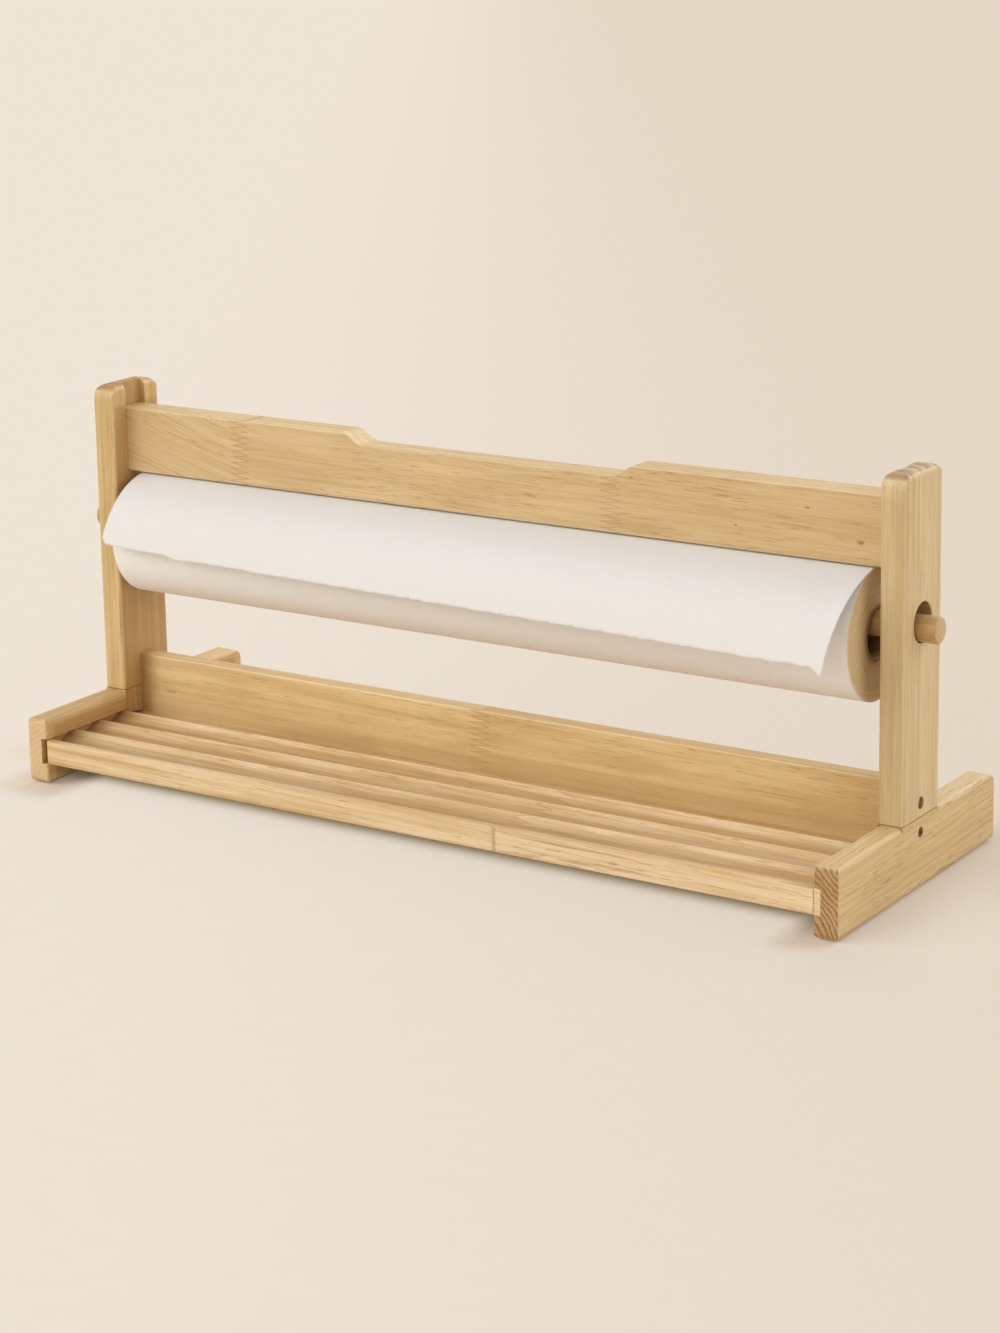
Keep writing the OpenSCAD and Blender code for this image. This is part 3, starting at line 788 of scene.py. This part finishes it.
# What is darker than the faces of a side board: painted shade in its housing, groove, hole and screw recesses
# and on its inner and front faces, and the dark joint line under the upright; from and to along X, Y and Z as
# on the right, and how dark
footShadeBoxes = {
    "housing": ((innerFace + 0.0003, outerFace - 0.004), (-0.0866, 0.03),
                (shelfLow.z - 0.0012, shelfHigh.z + 0.0012), 0.45),
    "screwRecess": (screwDepth, (-0.0035, 0.0035), (0.024, 0.034), 0.6),
    "innerFace": (innerSkin, (-0.082, 0.082), (-0.01, 0.033), innerFaceShade),
}
uprightShadeAndJointBoxes = {
    "groove": ((innerFace + 0.0003, railHigh.x + 0.0008), (railLow.y - 0.0006, railHigh.y + 0.0006),
               (railLow.z - 0.0008, 0.3), 0.4),
    "hole": ((innerFace + 0.0003, outerFace - 0.0003), (-0.0103, 0.0103),
             (rodHeight - 0.0075, rodHeight + 0.0133), 0.6),
    "screwRecess": (screwDepth, (-0.0035, 0.0035), (0.04, 0.05), 0.6),
    "innerFace": (innerSkin, (-0.0185, 0.0185), (0.03, 0.2), innerFaceShade),
    "joint": (wholeBoard, (-0.03, 0.03), (footHigh.z - 0.001, footHigh.z + 0.0007), 0.9),
    "frontFace": (wholeBoard, (-0.021, -0.0198), (0.03, 0.2), frontTone),
}


def sideShadeAndJointBoxes(side, cuts):
    # the boxes are mirrored for the left side
    pockets = []
    for x, y, z, depth in cuts.values():
        x = x if side == "right" else (-x[1], -x[0])
        pockets.append((x, y, z, depth[side] if isinstance(depth, dict) else depth))
    return pockets


for side, own in feet.items():
    timber = makeTimber(side + "FootTimber", "Y", pockets=sideShadeAndJointBoxes(side, footShadeBoxes),
                        rubbed=sawnEnd("Y", endPaleness[side]), **own, **footBoard)
    easeBoard(side + "_foot", "frame", timber)
for side, own in uprights.items():
    timber = makeTimber(side + "UprightTimber", "Z", pockets=sideShadeAndJointBoxes(side, uprightShadeAndJointBoxes),
                        **own, **uprightBoard)
    easeBoard(side + "_upright", "frame", timber)

blockStrip = {
    "pithY": 0.03, "pithZ": 0.2, "ringWidth": 0.004, "ringDepth": 0.3, "stripeDepth": 0.4, "streakDepth": 0.4,
    "cloudDepth": 0.2, "poreDepth": 0.4, "endDepth": 0.2, "arris": 0.2, **boardTone(184, 146, 94),
}
blockFoot = {"aboveShelf": 0.0012, "inChannel": 0.0036, "channelFrom": -0.012}


def scribeBlock(bm):
    # the strip's foot is cut to lie close over the rear channel
    bottom = min(v.co.z for v in bm.verts)
    for vert in bm.verts:
        if vert.co.z < bottom + 1e-5:
            fit = "aboveShelf" if vert.co.y < blockFoot["channelFrom"] else "inChannel"
            vert.co.z = shelfHigh.z - blockFoot[fit]


for side, seed in (("left", 31.0), ("right", 37.0)):
    finish = makeTimber(side + "BlockTimber", "Z", seed=seed, **blockStrip)
    easeBoard(side + "_block", "frame", finish, reshape=scribeBlock)
print("boards eased and grained")


# Turned pieces: a profile of (along X, radius) spun round the rod's or the roll's axis
def spin(profile, height, steps, closed=False, wave=None):
    bm = bmesh.new()
    rings = []
    for x, radius in profile:
        ring = []
        for k in range(steps):
            angle = 2 * math.pi * k / steps
            away = wave(x, radius, angle) if wave else radius
            ring.append(bm.verts.new((x, away * math.cos(angle), height + away * math.sin(angle))))
        rings.append(ring)
    pairs = list(zip(rings, rings[1:])) + ([(rings[-1], rings[0])] if closed else [])
    for first, second in pairs:
        for k in range(steps):
            bm.faces.new((first[k], first[(k + 1) % steps], second[(k + 1) % steps], second[k]))
    if not closed:
        bm.faces.new(rings[0])
        bm.faces.new(rings[-1])
    bmesh.ops.recalc_face_normals(bm, faces=bm.faces)
    return bm


def roundBarProfile(low, high, radius, ease, facets=4, rows=24):
    corner = []
    for k in range(facets, -1, -1):
        turn = math.pi / 2 * k / facets
        corner.append((ease * (1 - math.sin(turn)), ease * (1 - math.cos(turn))))
    start = [(low + a, radius - b) for a, b in corner]
    middle = [(low + ease + (high - low - 2 * ease) * k / rows, radius) for k in range(1, rows)]
    return start + middle + [(low + high - x, r) for x, r in reversed(start)]


rod = {"ease": 0.0011, "facets": 64, "endShare": 0.5, "sawnEnd": 0.45}
rodGrain = {
    "seed": 41.0, "pithY": 0.004, "pithZ": rodHeight + 0.012, "rise": 0.004, "ringWidth": 0.003,
    "ringDepth": 0.2, "endRings": 0.2, "streakDepth": 0.45, "cloudDepth": 0.25, "poreDepth": 0.45,
    "endDepth": 0.0, "arris": 0.0, **boardTone(187, 151, 97),
}
rodTimber = makeTimber("rodTimber", "X", rubbed=sawnEnd("X", rod["sawnEnd"]), **rodGrain)
endRadius = rodRadius * rod["endShare"]
profile = [(rodLow.x, endRadius), *roundBarProfile(rodLow.x, rodHigh.x, rodRadius, rod["ease"]),
           (rodHigh.x, endRadius)]
addPiece("rod_bar", spin(profile, rodHeight, rod["facets"]), rodTimber, "rod", "rod")

low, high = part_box("winding")
coreLow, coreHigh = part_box("core")
rollHeight, rollRadius = (high.z + low.z) / 2, (high.z - low.z) / 2
coreOuter = (coreHigh.z - coreLow.z) / 2
roll = {
    "facets": 160, "rows": 60, "layerStep": 0.0007, "endSpread": 0.00035, "endInset": 0.0006,
    "faceInset": 0.001, "slack": 0.00008, "under": 0.00025, "underSheet": 0.00008, "onCore": 0.00005,
    "coreWall": 0.0015, "coreEase": 0.0003, "coreFacets": 96,
}


def windPaper(values):
    # both ends show the layers, each pushed a little in or out
    inner, outer = coreOuter + values["onCore"], rollRadius - values["under"]
    count = int((outer - inner) / values["layerStep"])
    radii = [inner + (outer - inner) * k / count for k in range(count + 1)]

    def endOffset(radius, side):
        pushed = noise.noise((radius * 900, side * 7.0, 0.3))
        return values["endSpread"] * (pushed + 0.5 * noise.noise((radius * 2600, side * 3.0, 5.1)))

    left = [(low.x + values["endInset"] + endOffset(r, 0), r) for r in radii]
    right = [(high.x - values["endInset"] + endOffset(r, 1), r) for r in reversed(radii)]
    start, length = low.x + values["faceInset"], high.x - low.x - 2 * values["faceInset"]
    face = [(start + length * k / values["rows"], outer) for k in range(values["rows"] + 1)]

    def slack(x, radius, angle):
        if radius < outer - 1e-6:
            return radius
        loose = noise.noise((x * 14, math.cos(angle) * 1.3, math.sin(angle) * 1.3))
        return radius - values["slack"] * (0.5 + 0.5 * loose)

    return spin(left + face + right, rollHeight, values["facets"], closed=True, wave=slack)


rollPaper = makeRollPaper("rollPaper", rollHeight, rollRadius)
addPiece("winding_paper", windPaper(roll), rollPaper, "roll", "winding")
inner, ease = coreOuter - roll["coreWall"], roll["coreEase"]
halfTube = [(ease, inner), (0.0, inner + ease), (0.0, coreOuter - ease), (ease, coreOuter)]
tube = [(coreLow.x + x, r) for x, r in halfTube] + [(coreHigh.x - x, r) for x, r in reversed(halfTube)]
coreBody = spin(tube, rollHeight, roll["coreFacets"], closed=True)
addPiece("core_tube", coreBody, makeCoreCard("coreCard", rollHeight), "roll", "core")
print("rod and roll turned")


# Geometry node trees: a modifier makes the shape, then it is turned into a plain mesh
def growPiece(name, tree, values, finish):
    carrier = newObject(name + "Carrier", bpy.data.meshes.new(name + "Carrier"))
    maker = carrier.modifiers.new("maker", "NODES")
    maker.node_group = tree
    for item in tree.interface.items_tree:
        if item.in_out == "INPUT" and item.name in values:
            maker[item.identifier] = values[item.name]
    bpy.context.view_layer.update()
    made = carrier.evaluated_get(bpy.context.evaluated_depsgraph_get())
    mesh = bpy.data.meshes.new_from_object(made)
    mesh.name = name
    bpy.data.objects.remove(carrier)
    mesh.materials.clear()
    mesh.materials.append(finish)
    return newObject(name, mesh)


def geometryNode(tree, kind):
    return tree.nodes.new("GeometryNode" + kind)


def paintResult(tree, geometry, finish, out):
    real = geometryNode(tree, "RealizeInstances")
    feed(geometry, real.inputs[0])
    paint = geometryNode(tree, "SetMaterial")
    paint.inputs["Material"].default_value = finish
    feed(real.outputs[0], paint.inputs["Geometry"])
    feed(paint.outputs[0], out["Geometry"])


looseSheet = {  # angles in degrees from the roll's top, named like the inputs of its tree
    "Start Angle": -6.0, "End Angle": 96.6, "Roll Radius": rollRadius - roll["underSheet"],
    "Axis Height": rollHeight, "Left Lift": 0.0105, "Right Lift": 0.0281, "Lift Start": 12.3,
    "Left End": low.x, "Right End": high.x, "Columns": 481, "Rows": 61, "Flutter": 0.0004,
}
sheetThickness = 0.00014

# what share of the sheet's length is torn off at each place across it, from left to right
tornEdge = (
    (0.0, 0.113), (0.006, 0.075), (0.022, 0.068), (0.053, 0.064), (0.096, 0.064), (0.11, 0.057),
    (0.115, 0.042), (0.16, 0.05), (0.22, 0.05), (0.228, 0.045), (0.294, 0.0455), (0.67, 0.037),
    (0.93, 0.03), (0.9835, 0.033), (1.0, 0.0),
)
tear = {"waves": 60, "waveDepth": 0.02, "chips": 290, "chipDepth": 0.014}


def makeSheetTree(finish):
    tree, given, out = newGroup("looseSheetTree", "GeometryNodeTree", [
        (name, "Int" if name in ("Columns", "Rows") else "Float") for name in looseSheet
    ], [("Geometry", "Geometry")])
    grid = geometryNode(tree, "MeshGrid")
    feed(given["Columns"], grid.inputs["Vertices X"])
    feed(given["Rows"], grid.inputs["Vertices Y"])
    spot = split(nodeValue(geometryNode(tree, "InputPosition").outputs[0]))
    across, down = spot.x + 0.5, spot.y + 0.5
    torn = tree.nodes.new("ShaderNodeFloatCurve")
    torn.mapping.use_clip = False
    line = torn.mapping.curves[0]
    line.points[0].location, line.points[1].location = tornEdge[0], tornEdge[-1]
    for at, missing in tornEdge[1:-1]:
        line.points.new(at, missing)
    for point in line.points:
        point.handle_type = "VECTOR"
    torn.mapping.update()
    feed(across, torn.inputs["Value"])
    feed(1.0, torn.inputs["Factor"])
    ragged = speckle(gather(across), (tear["waves"], 1, 1), 1.0)
    chipped = speckle(gather(across, 4.0), (tear["chips"], 1, 1), 1.0)
    missing = (ragged - 0.5) * tear["waveDepth"] + nodeValue(torn.outputs[0])
    missing = ramp(chipped, 0.5, 0.8) * tear["chipDepth"] + missing
    angle = down * (1.0 - missing) * (given["End Angle"] - given["Start Angle"]) + given["Start Angle"]
    risen = most(angle - given["Lift Start"], 0.0) / (given["End Angle"] - given["Lift Start"])
    lift = across * (given["Right Lift"] - given["Left Lift"]) + given["Left Lift"]
    flutter = (speckle(gather(across, down), (5, 2, 1), 1.0) - 0.5) * given["Flutter"]
    radius = given["Roll Radius"] + (lift + flutter) * (risen * risen)
    turn = calc("RADIANS", angle)
    x = across * (given["Right End"] - given["Left End"]) + given["Left End"]
    y = radius * calc("SINE", turn) * -1.0
    z = radius * calc("COSINE", turn) + given["Axis Height"]
    move = geometryNode(tree, "SetPosition")
    feed(grid.outputs["Mesh"], move.inputs["Geometry"])
    feed(gather(x, y, z), move.inputs["Position"])
    paintResult(tree, move.outputs[0], finish, out)
    return tree


sheetPaper = makeSheetPaper("sheetPaper", rollHeight)
sheet = growPiece("loose_sheet", makeSheetTree(sheetPaper), looseSheet, sheetPaper)
bm = bmesh.new()
bm.from_mesh(sheet.data)
bmesh.ops.recalc_face_normals(bm, faces=bm.faces)
# all faces are turned outwards, going by one that lies 30 mm in front of the roll's axis
frontFace = min(bm.faces, key=lambda face: abs(face.calc_center_median().y + 0.03))
if frontFace.normal.y > 0:
    bmesh.ops.reverse_faces(bm, faces=bm.faces)
flatArea = sum(face.calc_area() for face in bm.faces)
bm.to_mesh(sheet.data)
bm.free()
sheet.data.shade_smooth()
thick = sheet.modifiers.new("thickness", "SOLIDIFY")
thick.thickness, thick.offset = sheetThickness, 1.0
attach(sheet, "frame")
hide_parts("sheet")
sheetWidth = high.x - low.x
flatArea / sheetWidth
print("loose sheet hung, flat length", round(flatArea / sheetWidth, 4))


# Screws: one screw, set at each of the four fastenings. "point" is the length of its tip.
screw = {
    "headRadius": 0.0025, "shankRadius": 0.0016, "headDepth": 0.002, "length": 0.03, "point": 0.004,
    "slot": 0.0009, "slotDepth": 0.001, "slotReach": 0.72, "slotTaper": 0.8,
    "rimEase": 0.00015, "rimShare": 0.93, "tipShare": 0.1, "facets": 48,
}


def makeScrewMaster(values):
    # a head that faces +X with a cross pressed in, then a cone to the shank, and the tip
    bm = bmesh.new()
    half, radius, steps = values["slot"] / 2, values["headRadius"], values["facets"]
    arm = radius * values["slotReach"]
    outline = []
    for quarter in range(4):
        turn = Matrix.Rotation(math.pi / 2 * quarter, 2)
        for a, b in ((arm, -half), (arm, half), (half, half)):
            outline.append(turn @ Vector((a, b)))
    turns = [2 * math.pi * k / steps for k in range(steps)]
    rim = [Vector((math.cos(turn), math.sin(turn))) * radius for turn in turns]

    def ring(x, points, share=1.0):
        return [bm.verts.new((x, p.x * share, p.y * share)) for p in points]

    def skin(first, second):
        for k in range(len(first)):
            m = (k + 1) % len(first)
            bm.faces.new((first[k], first[m], second[m], second[k]))

    def loop(verts):
        return [bm.edges.get(pair) for pair in zip(verts, verts[1:] + verts[:1])]

    crossTop = ring(0.0, outline)
    crossFloor = ring(-values["slotDepth"], outline, values["slotTaper"])
    headRim = ring(-values["rimEase"], rim)
    innerRim = ring(0.0, rim, values["rimShare"])
    bm.faces.new(crossFloor)
    skin(crossTop, crossFloor)
    skin(innerRim, headRim)
    bmesh.ops.triangle_fill(bm, use_beauty=True, use_dissolve=False, edges=loop(crossTop) + loop(innerRim))
    last, shank = headRim, values["shankRadius"] / radius
    for x, share in ((values["headDepth"], shank), (values["length"] - values["point"], shank),
                     (values["length"], values["tipShare"])):
        following = ring(-x, rim, share)
        skin(last, following)
        last = following
    bm.faces.new(last)
    bmesh.ops.recalc_face_normals(bm, faces=bm.faces)
    mesh = bpy.data.meshes.new("screwMaster")
    bm.to_mesh(mesh)
    bm.free()
    return newObject("screwMaster", mesh)


def makeScrewTree(finish):
    tree, given, out = newGroup("screwRowTree", "GeometryNodeTree", [
        ("Screw", "Object"), "Head Face", "Place Y", "Lower Height", "Upper Height", "Lower Twist",
        "Upper Twist",
    ], [("Geometry", "Geometry")])
    master = geometryNode(tree, "ObjectInfo")
    feed(given["Screw"], master.inputs["Object"])
    everything = geometryNode(tree, "JoinGeometry")
    for side in (-1.0, 1.0):
        for rowName in ("Lower", "Upper"):
            place = geometryNode(tree, "Transform")
            feed(master.outputs["Geometry"], place.inputs["Geometry"])
            spot = gather(given["Head Face"] * side, given["Place Y"], given[rowName + " Height"])
            twist = gather(given[rowName + " Twist"], 0.0, 0.0 if side > 0 else math.pi)
            feed(spot, place.inputs["Translation"])
            feed(twist, place.inputs["Rotation"])
            feed(place.outputs[0], everything.inputs[0])
    paintResult(tree, everything.outputs[0], finish, out)
    return tree


screwLow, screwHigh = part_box("screws")
screwSteel = makeScrewSteel("screwSteel")
master = makeScrewMaster(screw)
screws = growPiece("screw_set", makeScrewTree(screwSteel), {
    "Screw": master, "Head Face": screwHigh.x, "Place Y": (screwLow.y + screwHigh.y) / 2,
    "Lower Height": screwLow.z + screw["headRadius"], "Upper Height": screwHigh.z - screw["headRadius"],
    "Lower Twist": 0.5, "Upper Twist": 1.1,
}, screwSteel)
bpy.data.objects.remove(master)
screws.data.shade_smooth()
screws.data.set_sharp_from_angle(angle=math.radians(30))
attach(screws, "frame")
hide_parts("screws")

dowelGrain = {
    "seed": 43.0, "pithY": 0.01, "pithZ": 0.26, "ringWidth": 0.003, "ringDepth": 0.3, "streakDepth": 0.4,
    "arris": 0.0, **boardTone(186, 148, 98),
}
dowelTimber = makeTimber("dowelTimber", "Z", **dowelGrain)
dowels = boards["dowels"]
if not dowels.material_slots:
    dowels.data.materials.append(dowelTimber)
for place in dowels.material_slots:
    place.material = dowelTimber
print("screws and dowels fitted")

bpy.context.view_layer.update()
